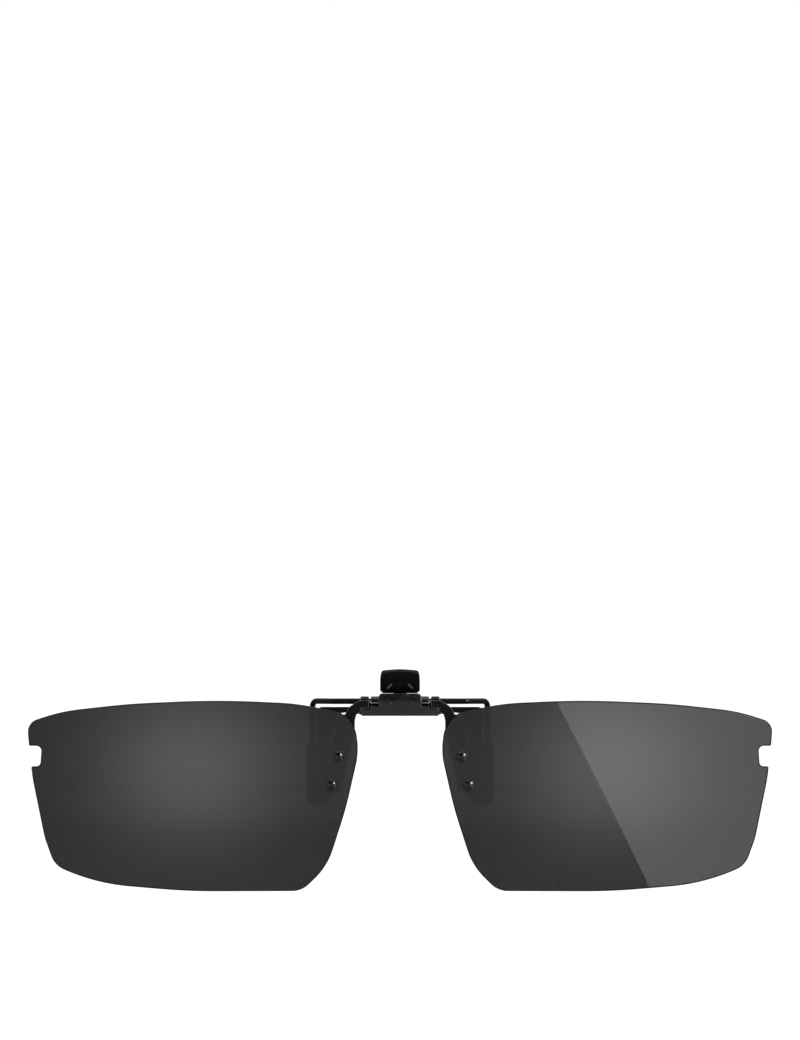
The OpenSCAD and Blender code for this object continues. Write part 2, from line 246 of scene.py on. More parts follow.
def moulded(name, outline, rim, place, grid):
    """A plate with two faces and a shaped rim. rim lists (inset, depth) from the front to the back,
    place(x, z, depth) gives the point in space, and grid is the spacing of points on the faces."""
    bm = blank()
    rings = [[bm.verts.new(place(p.x, p.y, depth)) for p in inset(outline, amount)]
             for amount, depth in rim]
    count = len(outline)
    for near, far in zip(rings, rings[1:]):
        for i in range(count):
            j = (i + 1) % count
            bm.faces.new((near[i], near[j], far[j], far[i]))
    for ring, (amount, depth) in ((rings[0], rim[0]), (rings[-1], rim[-1])):
        flat = inset(outline, amount)
        lo_x, hi_x = min(p.x for p in flat), max(p.x for p in flat)
        lo_z, hi_z = min(p.y for p in flat), max(p.y for p in flat)
        columns, rows = int((hi_x - lo_x) / grid), int((hi_z - lo_z) / grid)
        inner = inset(outline, amount + grid * 0.5)
        points = list(flat)
        for row in range(1, rows):
            z = lo_z + (hi_z - lo_z) * row / rows
            crossings = sorted(a.x + (z - a.y) * (b.x - a.x) / (b.y - a.y)
                               for a, b in zip(inner, inner[1:] + inner[:1]) if (a.y > z) != (b.y > z))
            for column in range(1, columns):
                x = lo_x + (hi_x - lo_x) * column / columns
                if sum(c < x for c in crossings) % 2:
                    points.append(Vector((x, z)))
        flat_points, _, triangles, origins, _, _ = delaunay_2d_cdt(
            points, [], [list(range(count))], 1, 1e-9)
        verts = [ring[origin[0]] if origin and origin[0] < count else bm.verts.new(place(p.x, p.y, depth))
                 for p, origin in zip(flat_points, origins)]
        for triangle in triangles:
            if len({verts[k] for k in triangle}) == 3:
                bm.faces.new([verts[k] for k in triangle])
    mark_edge(bm, [vert for ring in rings[1:-1] for vert in ring])
    bmesh.ops.remove_doubles(bm, verts=bm.verts, dist=1e-7)
    bmesh.ops.recalc_face_normals(bm, faces=bm.faces)
    return finished_mesh(bm, name)


def on_lens(x, z, depth):
    """The point at x, z on the right lens, depth behind its front surface."""
    radius = lens_radius - depth
    across, up = x - lens_centre.x, z - lens_centre.z
    return Vector((x, lens_centre.y - math.sqrt(radius ** 2 - across ** 2 - up ** 2), z))


def mirrored(mesh, name):
    """A copy of a mesh mirrored to the other side, with its faces outwards."""
    bm = blank(mesh)
    bmesh.ops.scale(bm, vec=(-1, 1, 1), verts=bm.verts)
    bmesh.ops.reverse_faces(bm, faces=bm.faces)
    copy = finished_mesh(bm, name)
    for material in mesh.materials:
        copy.materials.append(material)
    return copy


def fit(mesh, name, body, node_name, material):
    """Puts a finished mesh in place of a CAD piece, on its body and with its finish."""
    mesh.materials.clear()
    mesh.materials.append(material)
    made = piece(name, mesh)
    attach(made, body)
    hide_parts(node_name)
    return made


def fit_both(mesh, name, body, node_name, material):
    """The same on the right, and mirrored on the left."""
    fit(mirrored(mesh, "left_" + name), "left_" + name, body, "left_" + node_name, material)
    fit(mesh, "right_" + name, body, "right_" + node_name, material)


def group_of(name, inputs, outputs):
    """An empty shader group with named sockets, and its input and output nodes."""
    group = bpy.data.node_groups.new(name, "ShaderNodeTree")
    for label, value in inputs.items():
        socket = group.interface.new_socket(label, in_out="INPUT", socket_type="NodeSocketFloat")
        socket.default_value = value
    for label in outputs:
        group.interface.new_socket(label, in_out="OUTPUT", socket_type="NodeSocketFloat")
    return group, group.nodes.new("NodeGroupInput").outputs, group.nodes.new("NodeGroupOutput").inputs


def use(tree, group, **inputs):
    """A shader group placed in a material; an underscore in a name stands for a space."""
    made = node(tree, "ShaderNodeGroup", node_tree=group)
    for label, value in inputs.items():
        socket = made.inputs[label.replace("_", " ")]
        if isinstance(value, bpy.types.NodeSocket):
            tree.links.new(value, socket)
        else:
            socket.default_value = value
    return made.outputs


def blend_colour(tree, mask, below, above):
    """A colour mixed towards another by a mask."""
    mix = node(tree, "ShaderNodeMix", data_type="RGBA")
    for index, colour in ((6, below), (7, above)):
        if isinstance(colour, bpy.types.NodeSocket):
            tree.links.new(colour, mix.inputs[index])
        else:
            mix.inputs[index].default_value = (*colour, 1)
    tree.links.new(mask, mix.inputs[0])
    return mix.outputs[2]


# Dust: sparse tiny specks, a few of them in each square centimetre
dust, dust_in, dust_out = group_of("dust", {"Scale": 600.0, "Size": 0.06, "Amount": 0.3}, ["Mask"])
dust_place = node(dust, "ShaderNodeTexCoord").outputs["Object"]
dust_cells = node(dust, "ShaderNodeTexVoronoi", {"Vector": dust_place, "Scale": dust_in["Scale"]})
dust_cell = node(dust, "ShaderNodeSeparateColor", {0: dust_cells.outputs["Color"]}).outputs[0]
dust_kept = maths(dust, "LESS_THAN", dust_cell, dust_in["Amount"])
dust_dot = maths(dust, "LESS_THAN", dust_cells.outputs["Distance"], dust_in["Size"])
dust.links.new(maths(dust, "MULTIPLY", dust_kept, dust_dot), dust_out["Mask"])

smoke_colour = (0.0083, 0.008, 0.0079)
smoke_thin = (0.0092, 0.0089, 0.0087)
smoke, smoke_tree, smoke_shader = finish_of("smoke lens", smoke_colour, 0.015)
smoke_shader.inputs["Transmission Weight"].default_value = 1.0
smoke_shader.inputs["IOR"].default_value = 1.5
lens_place = node(smoke_tree, "ShaderNodeTexCoord").outputs["Object"]
lens_dust = use(smoke_tree, dust, Scale=700.0, Size=0.02, Amount=0.15)["Mask"]
wiped = node(smoke_tree, "ShaderNodeMapping",
             {"Vector": lens_place, "Rotation": (0, 0.5, 0), "Scale": (1, 1, 5)})
smears = node(smoke_tree, "ShaderNodeTexNoise", {"Vector": wiped.outputs[0], "Scale": 70.0, "Detail": 4.0})
lens_edge = node(smoke_tree, "ShaderNodeAttribute", attribute_name="edge").outputs["Fac"]
tint = blend_colour(smoke_tree, smears.outputs["Fac"], smoke_colour, smoke_thin)
tint = blend_colour(smoke_tree, lens_dust, tint, (0.03, 0.03, 0.03))
# Painted shade on the rim: its colour goes near black here and, below, its reflection is damped, standing in
# for the darkness of light's long path through the edge.
tint = blend_colour(smoke_tree, lens_edge, tint, (0.0004, 0.0004, 0.0004))
smoke_tree.links.new(tint, smoke_shader.inputs["Base Color"])
smeared = ramp(smoke_tree, smears.outputs["Fac"], 0.45, 0.75, 0.012, 0.035)
lens_gloss = maths(smoke_tree, "MAXIMUM", smeared, maths(smoke_tree, "MULTIPLY", lens_dust, 0.5))
lens_gloss = maths(smoke_tree, "MAXIMUM", lens_gloss, maths(smoke_tree, "MULTIPLY", lens_edge, 0.35))
smoke_tree.links.new(lens_gloss, smoke_shader.inputs["Roughness"])
smoke_tree.links.new(blend_colour(smoke_tree, lens_edge, (1, 0.965, 0.985), (0.05, 0.05, 0.05)),
                     smoke_shader.inputs["Specular Tint"])

front_bevel = [(lens_bevel * away, lens_bevel * deep) for away, deep in
               ((1.15, 0), (1, 0), (0.95, 0.05), (0.05, 0.95), (0, 1), (0, 1.1))]
back_share = 0.3                        # the back bevel's size beside the front one's
lens_rim = front_bevel + [(away * back_share, lens_thick - deep * back_share)
                          for away, deep in front_bevel[::-1]]
fit_both(moulded("lens", rounded(lens_corners, 3, 0.8), lens_rim, on_lens, 1.6 * mm), "sun_lens",
         "lens_carrier", "lens", smoke)


def mirrored_to(x, z, distance):
    """Where the view of the right lens at x, z leads to, that distance after the lens has mirrored it."""
    here = on_lens(x, z, 0)
    outwards = (here - lens_centre).normalized()
    to_camera = (camera.location - here).normalized()
    return here + (2 * outwards.dot(to_camera) * outwards - to_camera) * distance


def light_card(name, place, aim, corners, radiance, spread=None):
    """A glowing card that adds light in one direction and is clear otherwise.
    spread is how far it fades from its middle, across and upwards."""
    material = bpy.data.materials.new(name)
    material.use_nodes = True
    tree = material.node_tree
    tree.nodes.clear()
    strength = radiance
    if spread:
        card_place = node(tree, "ShaderNodeTexCoord").outputs["Object"]
        away = node(tree, "ShaderNodeVectorMath", {0: card_place, 1: (1 / spread[0], 1 / spread[1], 0)},
                    operation="MULTIPLY")
        radius = node(tree, "ShaderNodeVectorMath", {0: away.outputs[0]}, operation="LENGTH")
        fall = maths(tree, "POWER", radius.outputs["Value"], 2.0)
        strength = maths(tree, "MULTIPLY", maths(tree, "POWER", math.exp(-1), fall), radiance)
    shine = node(tree, "ShaderNodeEmission", {"Strength": strength})
    clear = node(tree, "ShaderNodeBsdfTransparent")
    both = node(tree, "ShaderNodeAddShader", {0: shine.outputs[0], 1: clear.outputs[0]})
    back = node(tree, "ShaderNodeNewGeometry").outputs["Backfacing"]
    mix = node(tree, "ShaderNodeMixShader", {0: back, 1: both.outputs[0], 2: clear.outputs[0]})
    node(tree, "ShaderNodeOutputMaterial", {"Surface": mix.outputs[0]})
    card = flat_sheet(name, corners, material)
    card.location = place
    if aim is not None:
        card.rotation_euler = (Vector(aim) - Vector(place)).to_track_quat("Z", "Y").to_euler()
    card.visible_camera = False
    return card


# Two soft glows, one in each lens, and in the right lens a panel of light with a slanting edge
card_distance = 42 * mm
glow_radiance, panel_radiance = 1.7, 1.5
glow_x, glow_z, glow_spread, glow_reach = 35.2 * mm, -10.5 * mm, (27 * mm, 22 * mm), 70 * mm
glow_corners = [(x * glow_reach, y * glow_reach, 0) for x, y in square]
for side in (-1, 1):
    across = Vector((side, 1, 1))
    light_card("glow_card", mirrored_to(glow_x, glow_z, card_distance) * across,
               on_lens(glow_x, glow_z, 0) * across, glow_corners, glow_radiance, glow_spread)
panel_top = mirrored_to(26.7 * mm, 0, card_distance)
panel_foot = mirrored_to(42.3 * mm, -31.1 * mm, card_distance)
panel_up = (panel_top - panel_foot) * 0.9
panel_right = Vector((0.11, 0, 0))
light_card("panel_card", (0, 0, 0), None,
           [panel_foot - panel_up, panel_top + panel_up, panel_top + panel_up + panel_right,
            panel_foot - panel_up + panel_right], panel_radiance)


# ---- Lens arms ----
# Two stamped steel arms, lacquered black, riveted behind the lenses. Each one's neck curves up
# to a rolled barrel that is pressed on the end of the flip shaft.
def skinned(node_name, cell, rounding):
    """A copy of a CAD piece under an even skin of small cells. Smoothing, done rounding times,
    rounds its edges off, and the points that it moved are marked as edges."""
    bm = blank(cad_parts[node_name].data)
    bmesh.ops.remove_doubles(bm, verts=bm.verts, dist=1e-6)
    mesh = bpy.data.meshes.new("skin")
    bm.to_mesh(mesh)
    bm.free()
    holder = piece("holder", mesh)
    skin = holder.modifiers.new("even skin", "REMESH")
    skin.mode = "VOXEL"
    skin.voxel_size = cell
    mesh = bpy.data.meshes.new_from_object(holder.evaluated_get(bpy.context.evaluated_depsgraph_get()))
    bpy.data.objects.remove(holder)
    bm = blank(mesh)
    before = [vert.co.copy() for vert in bm.verts]
    for _ in range(rounding):
        bmesh.ops.smooth_vert(bm, verts=bm.verts, factor=0.5,
                              use_axis_x=True, use_axis_y=True, use_axis_z=True)
    layer = bm.verts.layers.float["edge"]
    for vert, start in zip(bm.verts, before):
        vert[layer] = min(1.0, (vert.co - start).length / (0.6 * cell)) ** 2
    bmesh.ops.dissolve_limit(bm, angle_limit=math.radians(0.3), verts=bm.verts, edges=bm.edges)
    bmesh.ops.triangulate(bm, faces=[face for face in bm.faces if len(face.verts) > 4])
    return finished_mesh(bm, node_name + " skinned")


def softened(node_name, width, segments=3, sharp=35):
    """A copy of a CAD piece with its sharp edges rounded off and marked as edges."""
    bm = blank(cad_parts[node_name].data)
    bmesh.ops.remove_doubles(bm, verts=bm.verts, dist=1e-6)
    bmesh.ops.dissolve_limit(bm, angle_limit=math.radians(0.4), verts=bm.verts, edges=bm.edges)
    sharp_edges = [edge for edge in bm.edges
                   if len(edge.link_faces) == 2 and edge.calc_face_angle() > math.radians(sharp)]
    strips = bmesh.ops.bevel(bm, geom=sharp_edges, offset=width, offset_type="OFFSET", segments=segments,
                             profile=0.5, affect="EDGES", clamp_overlap=False)["faces"]
    strips = set(strips)
    mark_edge(bm, [vert for vert in bm.verts if all(face in strips for face in vert.link_faces)])
    return finished_mesh(bm, node_name + " softened")


# Worn edges and painted highlights: patches along the marked edges where the coating has rubbed thin. Where
# the amount is high they join into a lighter line, a painted highlight along the edge, and on the pad they
# paint its ribs lighter as a painted highlight.
wear_and_highlight, wear_and_highlight_in, wear_and_highlight_out = group_of("wear and painted highlight", {"Scale": 900.0, "Amount": 0.4}, ["Mask"])
wear_and_highlight_edge = node(wear_and_highlight, "ShaderNodeAttribute", attribute_name="edge").outputs["Fac"]
wear_and_highlight_noise = node(wear_and_highlight, "ShaderNodeTexNoise", {"Vector": node(wear_and_highlight, "ShaderNodeTexCoord").outputs["Object"],
                                               "Scale": wear_and_highlight_in["Scale"], "Detail": 3.0}).outputs["Fac"]
wear_and_highlight_sum = maths(wear_and_highlight, "ADD", wear_and_highlight_noise, wear_and_highlight_in["Amount"])
wear_and_highlight_patch = maths(wear_and_highlight, "MULTIPLY_ADD", wear_and_highlight_sum, 5.0, -4.0, clamp=True)
wear_and_highlight.links.new(maths(wear_and_highlight, "MULTIPLY", wear_and_highlight_patch, wear_and_highlight_edge), wear_and_highlight_out["Mask"])

# Coating: the fine orange peel of a sprayed or dipped coat, with a slow change of tone
coating, coating_in, coating_out = group_of("coating", {"Scale": 5000.0}, ["Height", "Tone"])
coating_place = node(coating, "ShaderNodeTexCoord").outputs["Object"]
peel = node(coating, "ShaderNodeTexNoise",
            {"Vector": coating_place, "Scale": coating_in["Scale"], "Detail": 2.0})
slow_scale = maths(coating, "MULTIPLY", coating_in["Scale"], 0.08)
slow = node(coating, "ShaderNodeTexNoise", {"Vector": coating_place, "Scale": slow_scale, "Detail": 3.0})
coating.links.new(peel.outputs["Fac"], coating_out["Height"])
coating.links.new(slow.outputs["Fac"], coating_out["Tone"])


def coated(name, dark, light, gloss, specular, peel_scale, peel_depth, wear_and_highlight_amount, bare_and_highlight_colour=(0.11, 0.11, 0.12)):
    """A dark coating on metal, or a moulded plastic: toned, with orange peel, scuffed edges and a little
    dust. gloss is the range of roughness, and bare_and_highlight_colour is the colour of scuffed edges and
    painted highlights."""
    material, tree, shader = finish_of(name, dark, gloss[0], specular)
    skin = use(tree, coating, Scale=peel_scale)
    rubbed_and_highlit = use(tree, wear_and_highlight, Scale=1100.0, Amount=wear_and_highlight_amount)["Mask"]
    specks = use(tree, dust, Scale=900.0, Size=0.07, Amount=0.16)["Mask"]
    tone = blend_colour(tree, ramp(tree, skin["Tone"], 0.35, 0.65), dark, light)
    # Partly wear, partly painted highlight: the marked edges and the pad's ribs are painted in the lighter
    # colour.
    tone = blend_colour(tree, rubbed_and_highlit, tone, bare_and_highlight_colour)
    tone = blend_colour(tree, specks, tone, (0.04, 0.04, 0.04))
    tree.links.new(tone, shader.inputs["Base Color"])
    roughness = ramp(tree, skin["Tone"], 0.3, 0.7, gloss[0], gloss[1])
    tree.links.new(maths(tree, "MAXIMUM", roughness, maths(tree, "MULTIPLY", specks, 0.8)),
                   shader.inputs["Roughness"])
    bump = node(tree, "ShaderNodeBump", {"Height": skin["Height"], "Strength": 1.0, "Distance": peel_depth})
    tree.links.new(bump.outputs[0], shader.inputs["Normal"])
    return material


# Painted highlight: at this amount the scuffed edges join into an almost unbroken lighter line along the
# rounded edges of the arms and the claw strap, partly wear and partly a painted highlight.
deep_lacquer = coated("deep black lacquer", (0.0018, 0.0017, 0.0027), (0.0028, 0.0027, 0.004), (0.2, 0.3),
                      0.09, 4500.0, 0.003 * mm, 0.62, (0.12, 0.12, 0.13))
fit_both(skinned("right_lens_arm", 0.05 * mm, 12), "arm", "lens_carrier", "lens_arm",
         deep_lacquer)


# ---- Lens rivets and washers ----
# Four turned rivets with low domed heads, gloss black, hold the lenses to the arms.
# Each one passes through a thin nylon washer that cushions the plastic lens.
rivet_places = ((10.4, -9.2), (11.6, -14.05))
stack = 1.95                                   # lens, washer and arm
# Half sections, from the front end to the back: distance from the axis, and height above the lens
dome_section = [(1.3 * math.sin(math.radians(a)), 1.3 * math.cos(math.radians(a)) - 0.86)
                for a in (0, 6, 12, 18, 24, 30, 36, 41, 45)]
rivet_section = dome_section + [(0.95, 0.04), (0.975, 0.0), (0.93, -0.015), (0.5, -0.015), (0.5, -stack),
                                (0.76, -stack - 0.01), (0.8, -stack - 0.06), (0.78, -stack - 0.24),
                                (0.66, -stack - 0.34), (0.3, -stack - 0.37), (0, -stack - 0.37)]
washer_section = [(0.5, -1.21), (0.92, -1.21), (0.95, -1.24), (0.95, -1.46), (0.92, -1.49), (0.5, -1.49)]


def turned(name, section, steps=40):
    """A part turned round the Z axis from its half section in millimetres; one off the axis is a ring."""
    bm = blank()
    ring = section[0][0] > 0
    rows = []
    for radius, height in section:
        if radius == 0:
            rows.append([bm.verts.new((0, 0, height * mm))] * steps)
        else:
            rows.append([bm.verts.new((radius * mm * math.cos(k * math.tau / steps),
                                       radius * mm * math.sin(k * math.tau / steps), height * mm))
                         for k in range(steps)])
    for upper, lower in zip(rows, rows[1:] + (rows[:1] if ring else [])):
        for k in range(steps):
            j = (k + 1) % steps
            corners = list(dict.fromkeys((upper[k], lower[k], lower[j], upper[j])))
            if len(corners) > 2:
                bm.faces.new(corners)
    bmesh.ops.recalc_face_normals(bm, faces=bm.faces)
    return finished_mesh(bm, name)


def tree_of(name, inputs):
    """An empty Geometry Nodes tree with named inputs, and its input and output nodes."""
    tree = bpy.data.node_groups.new(name, "GeometryNodeTree")
    tree.interface.new_socket("Geometry", in_out="INPUT", socket_type="NodeSocketGeometry")
    for label, kind in inputs.items():
        tree.interface.new_socket(label, in_out="INPUT", socket_type=kind)
    tree.interface.new_socket("Geometry", in_out="OUTPUT", socket_type="NodeSocketGeometry")
    return tree, tree.nodes.new("NodeGroupInput").outputs, tree.nodes.new("NodeGroupOutput").inputs


def grown(name, mesh, tree, **values):
    """The plain mesh that a Geometry Nodes tree makes from a mesh; an underscore stands for a space."""
    holder = piece("holder", mesh)
    modifier = holder.modifiers.new("tree", "NODES")
    modifier.node_group = tree
    for item in tree.interface.items_tree:
        label = item.name.replace(" ", "_")
        if item.in_out == "INPUT" and label in values:
            modifier[item.identifier] = values[label]
    holder.update_tag()
    made = bpy.data.meshes.new_from_object(holder.evaluated_get(bpy.context.evaluated_depsgraph_get()))
    made.name = name
    bpy.data.objects.remove(holder)
    return made


# Fixings: one part set on each point, turned to the point's aim
fixings, fixings_in, fixings_out = tree_of(
    "fixings", {"Part": "NodeSocketObject", "Size": "NodeSocketFloat", "Finish": "NodeSocketMaterial"})
fixing_part = node(fixings, "GeometryNodeObjectInfo", {"Object": fixings_in["Part"], "As Instance": True})
fixing_aim = node(fixings, "GeometryNodeInputNamedAttribute", {"Name": "aim"}, data_type="FLOAT_VECTOR")
fixing_turn = node(fixings, "FunctionNodeAlignRotationToVector", {"Vector": fixing_aim.outputs[0]}, axis="Z")
set_out = node(fixings, "GeometryNodeInstanceOnPoints",
               {"Points": fixings_in["Geometry"], "Instance": fixing_part.outputs["Geometry"],
                "Rotation": fixing_turn.outputs[0], "Scale": fixings_in["Size"]})
made_real = node(fixings, "GeometryNodeRealizeInstances", {"Geometry": set_out.outputs[0]})
finished = node(fixings, "GeometryNodeSetMaterial",
                {"Geometry": made_real.outputs[0], "Material": fixings_in["Finish"]})
fixings.links.new(finished.outputs[0], fixings_out["Geometry"])


def set_on(name, part, places, aims, material):
    """One turned part on each place, as one mesh."""
    points = bpy.data.meshes.new("points")
    points.from_pydata(places, [], [])
    points.attributes.new("aim", "FLOAT_VECTOR", "POINT").data.foreach_set(
        "vector", [value for aim in aims for value in aim])
    sample = piece("sample", part)
    made = grown(name, points, fixings, Part=sample, Size=1.0, Finish=material)
    bpy.data.objects.remove(sample)
    return made


gloss_black = coated("gloss black", (0.0025, 0.0025, 0.003), (0.004, 0.004, 0.0045), (0.1, 0.18), 0.25,
                     7000.0, 0.001 * mm, 0.2)
nylon, nylon_tree, nylon_shader = finish_of("natural nylon", (0.72, 0.7, 0.62), 0.45, 0.4)
nylon_shader.inputs["Subsurface Weight"].default_value = 0.3
nylon_shader.inputs["Subsurface Radius"].default_value = (0.0004, 0.0003, 0.0002)
nylon_skin = use(nylon_tree, coating, Scale=6000.0)
nylon_tree.links.new(blend_colour(nylon_tree, nylon_skin["Tone"], (0.62, 0.6, 0.52), (0.8, 0.78, 0.7)),
                     nylon_shader.inputs["Base Color"])
nylon_bump = node(nylon_tree, "ShaderNodeBump", {"Height": nylon_skin["Height"], "Distance": 0.004 * mm})
nylon_tree.links.new(nylon_bump.outputs[0], nylon_shader.inputs["Normal"])

for side_name, side in (("left", -1), ("right", 1)):
    across = Vector((side, 1, 1))
    seats = [on_lens(x * mm, z * mm, 0) * across for x, z in rivet_places]
    aims = [(seat - lens_centre * across).normalized() for seat in seats]
    rivets = set_on("rivets", turned("rivet", rivet_section, 48), seats, aims, gloss_black)
    fit(rivets, side_name + "_domed_rivets", "lens_carrier", side_name + "_rivets",
        gloss_black)
    washers = set_on("washers", turned("washer", washer_section), seats, aims, nylon)
    fit(washers, side_name + "_nylon_washers", "lens_carrier", side_name + "_lens_washers", nylon)


# ---- Flip shaft and bushes ----
# A turned, nickel-plated shaft with a flatted cam in the middle runs through two nickel bushes
# pressed into the bridge's lugs. Fine turning rings run round all three.
def plated(name, dark, light, gloss, ring_scale, ring_depth):
    """Bright plated metal with fine rings round the X axis and a slow change of tone."""
    material, tree, shader = finish_of(name, dark, gloss[0])
    shader.inputs["Metallic"].default_value = 1.0
    where = node(tree, "ShaderNodeTexCoord").outputs["Object"]
    stretched = node(tree, "ShaderNodeMapping", {"Vector": where, "Scale": (1, 0.02, 0.02)})
    rings = node(tree, "ShaderNodeTexNoise",
                 {"Vector": stretched.outputs[0], "Scale": ring_scale, "Detail": 3.0})
    skin = use(tree, coating, Scale=9000.0)
    tree.links.new(blend_colour(tree, skin["Tone"], dark, light), shader.inputs["Base Color"])
    tree.links.new(ramp(tree, rings.outputs["Fac"], 0.3, 0.7, gloss[0], gloss[1]), shader.inputs["Roughness"])
    bump = node(tree, "ShaderNodeBump", {"Height": rings.outputs["Fac"], "Distance": ring_depth})
    tree.links.new(bump.outputs[0], shader.inputs["Normal"])
    return material


nickel = plated("nickel plate", (0.13, 0.13, 0.145), (0.18, 0.18, 0.195), (0.12, 0.3), 14000.0, 0.002 * mm)
fit(softened("flip_shaft", 0.05 * mm), "cam_shaft", "lens_carrier", "flip_shaft", nickel)
fit_both(softened("right_hinge_bush", 0.04 * mm), "bush", "bridge", "hinge_bush", nickel)


# ---- Bridge plate ----
# One stamped and folded steel plate in black lacquer: the upright face, its top leant back,
# the floor behind it, and the two rolled lugs that hold the bushes.
# Partly painted highlight: the lacquer's scuffed edges put lighter patches along the plate's rounded edges,
# its top edge among them, partly wear and partly light caught on the edge.
lacquer = coated("black lacquer", (0.0028, 0.0026, 0.0042), (0.004, 0.0038, 0.0056), (0.2, 0.28), 0.36,
                 4500.0, 0.004 * mm, 0.4)
fit(skinned("bridge_plate", 0.055 * mm, 5), "bridge_cover", "bridge", "bridge_plate",
    lacquer)


# ---- Detent spring and bridge rivets ----
# A blued leaf spring behind the plate presses on the shaft's cam, so that the lenses stay up or down.
# Two small flush rivets hold it.
spring_steel = plated("spring steel", (0.22, 0.23, 0.25), (0.34, 0.35, 0.37), (0.2, 0.4), 5000.0,
                      0.003 * mm)
fit(softened("detent_spring", 0.03 * mm, 2), "leaf_spring", "bridge", "detent_spring",
    spring_steel)

spot_section = [(0, 1.305), (0.2, 1.3), (0.32, 1.285), (0.37, 1.25), (0.25, 1.25), (0.25, 0.6), (0.34, 0.6),
                (0.34, 0.54), (0.3, 0.52), (0, 0.52)]
spots = [flip_axis + Vector((side * 1.75, 0, -0.35)) * mm for side in (-1, 1)]
spot_rivets = set_on("spots", turned("spot", spot_section, 32), spots, [(0, -1, 0)] * 2, lacquer)
fit(spot_rivets, "spot_rivets", "bridge", "bridge_rivets", lacquer)


# ---- Claw frame ----
# The fixed front claws: one stamped strap in black lacquer behind the lenses, with a rolled knuckle
# on each side for the claw wire, and two tongues that carry the front sleeves.
fit(softened("claw_frame", 0.045 * mm), "claw_strap", "bridge", "claw_frame", deep_lacquer)


# ---- Front sleeves ----
# Soft matte black sleeves pushed over the tongues, with square shoulders and a round foot.
# They touch the front of the spectacles, so they have no hard edge.
sleeve_middle, sleeve_half, sleeve_top, sleeve_foot = 13.95, 2.05, -6.7, -17.6
sleeve_thick = 1.4 * mm
shoulder_radius, foot_radius = 0.5, 1.95
sleeve_corners = [(sleeve_middle + sleeve_half, sleeve_top, shoulder_radius),
                  (sleeve_middle + sleeve_half, sleeve_foot, foot_radius),
                  (sleeve_middle - sleeve_half, sleeve_foot, foot_radius),
                  (sleeve_middle - sleeve_half, sleeve_top, shoulder_radius)]
grip_gap = 2.2 * mm


def round_rim(thick, radius, steps=5):
    """The rim of a soft plate: a quarter round at the front and one at the back."""
    turns = [k * math.pi / 2 / steps for k in range(steps + 1)]
    front = [(radius * (1 - math.sin(turn)), radius * (1 - math.cos(turn))) for turn in turns]
    return front + [(amount, thick - depth) for amount, depth in front[::-1]]


def sleeve(name, front):
    return moulded(name, rounded(sleeve_corners, 8, 0.5), round_rim(sleeve_thick, 0.38 * mm),
                   lambda x, z, depth: Vector((x, front + depth, z)), 0.5 * mm)


soft_black = coated("soft black sleeve", (0.007, 0.007, 0.0072), (0.011, 0.011, 0.0112), (0.62, 0.8), 0.25,
                    9000.0, 0.006 * mm, 0.1, (0.03, 0.03, 0.03))
fit_both(sleeve("front sleeve", -sleeve_thick), "front_cushion", "bridge", "front_sleeve",
         soft_black)


# ---- Claw wire ----
# The sprung rear claw: one length of black coated wire that turns in the knuckles, kinks back
# past the spectacle lenses, and ends on each side in a hairpin.
wire_radius = 0.5 * mm
wire_axis = Vector((0, 0, 0.22)) * mm
wire_back, hairpin_foot = 2.9, -16.7
# Right half of its path: x, y and z in millimetres, and the bend's radius
wire_half = [(11.3, 0, 0.22, 1.0), (14.9, wire_back, 0.22, 0.9), (14.9, wire_back, hairpin_foot, 0.95),
             (13, wire_back, hairpin_foot, 0.95), (13, wire_back, -8.2, 0)]

# Drawn wire: a round wire along a path, bent at each point to the point's own radius
drawn, drawn_in, drawn_out = tree_of(
    "drawn wire", {"Wire Radius": "NodeSocketFloat", "Bend Steps": "NodeSocketInt", "Sides": "NodeSocketInt",
                   "Finish": "NodeSocketMaterial"})
wire_line = node(drawn, "GeometryNodeMeshToCurve", {"Mesh": drawn_in["Geometry"]})
wire_bend = node(drawn, "GeometryNodeInputNamedAttribute", {"Name": "bend"}, data_type="FLOAT")
wire_bent = node(drawn, "GeometryNodeFilletCurve",
                 {"Curve": wire_line.outputs[0], "Count": drawn_in["Bend Steps"],
                  "Radius": wire_bend.outputs[0], "Limit Radius": True}, mode="POLY")
wire_round = node(drawn, "GeometryNodeCurvePrimitiveCircle",
                  {"Radius": drawn_in["Wire Radius"], "Resolution": drawn_in["Sides"]})
wire_swept = node(drawn, "GeometryNodeCurveToMesh",
                  {"Curve": wire_bent.outputs[0], "Profile Curve": wire_round.outputs[0], "Fill Caps": True})
wire_real = node(drawn, "GeometryNodeRealizeInstances", {"Geometry": wire_swept.outputs[0]})
wire_done = node(drawn, "GeometryNodeSetMaterial",
                 {"Geometry": wire_real.outputs[0], "Material": drawn_in["Finish"]})
drawn.links.new(wire_done.outputs[0], drawn_out["Geometry"])


def wire_along(name, path, bends, radius, material, bend_steps=10, sides=24):
    """A closed mesh of round wire along a path in metres, with rounded-over cut ends."""
    line = bpy.data.meshes.new("path")
    line.from_pydata(path, [(k, k + 1) for k in range(len(path) - 1)], [])
    line.attributes.new("bend", "FLOAT", "POINT").data.foreach_set("value", bends)
    swept = grown(name, line, drawn, Wire_Radius=radius, Bend_Steps=bend_steps, Sides=sides, Finish=material)
    bm = blank(swept)
    bmesh.ops.remove_doubles(bm, verts=bm.verts, dist=1e-7)
    bmesh.ops.recalc_face_normals(bm, faces=bm.faces)
    ends = [edge for edge in bm.edges
            if len(edge.link_faces) == 2 and edge.calc_face_angle() > math.radians(60)]
    bmesh.ops.bevel(bm, geom=ends, offset=radius * 0.25, segments=2, profile=0.5, affect="EDGES")
    return finished_mesh(bm, name)


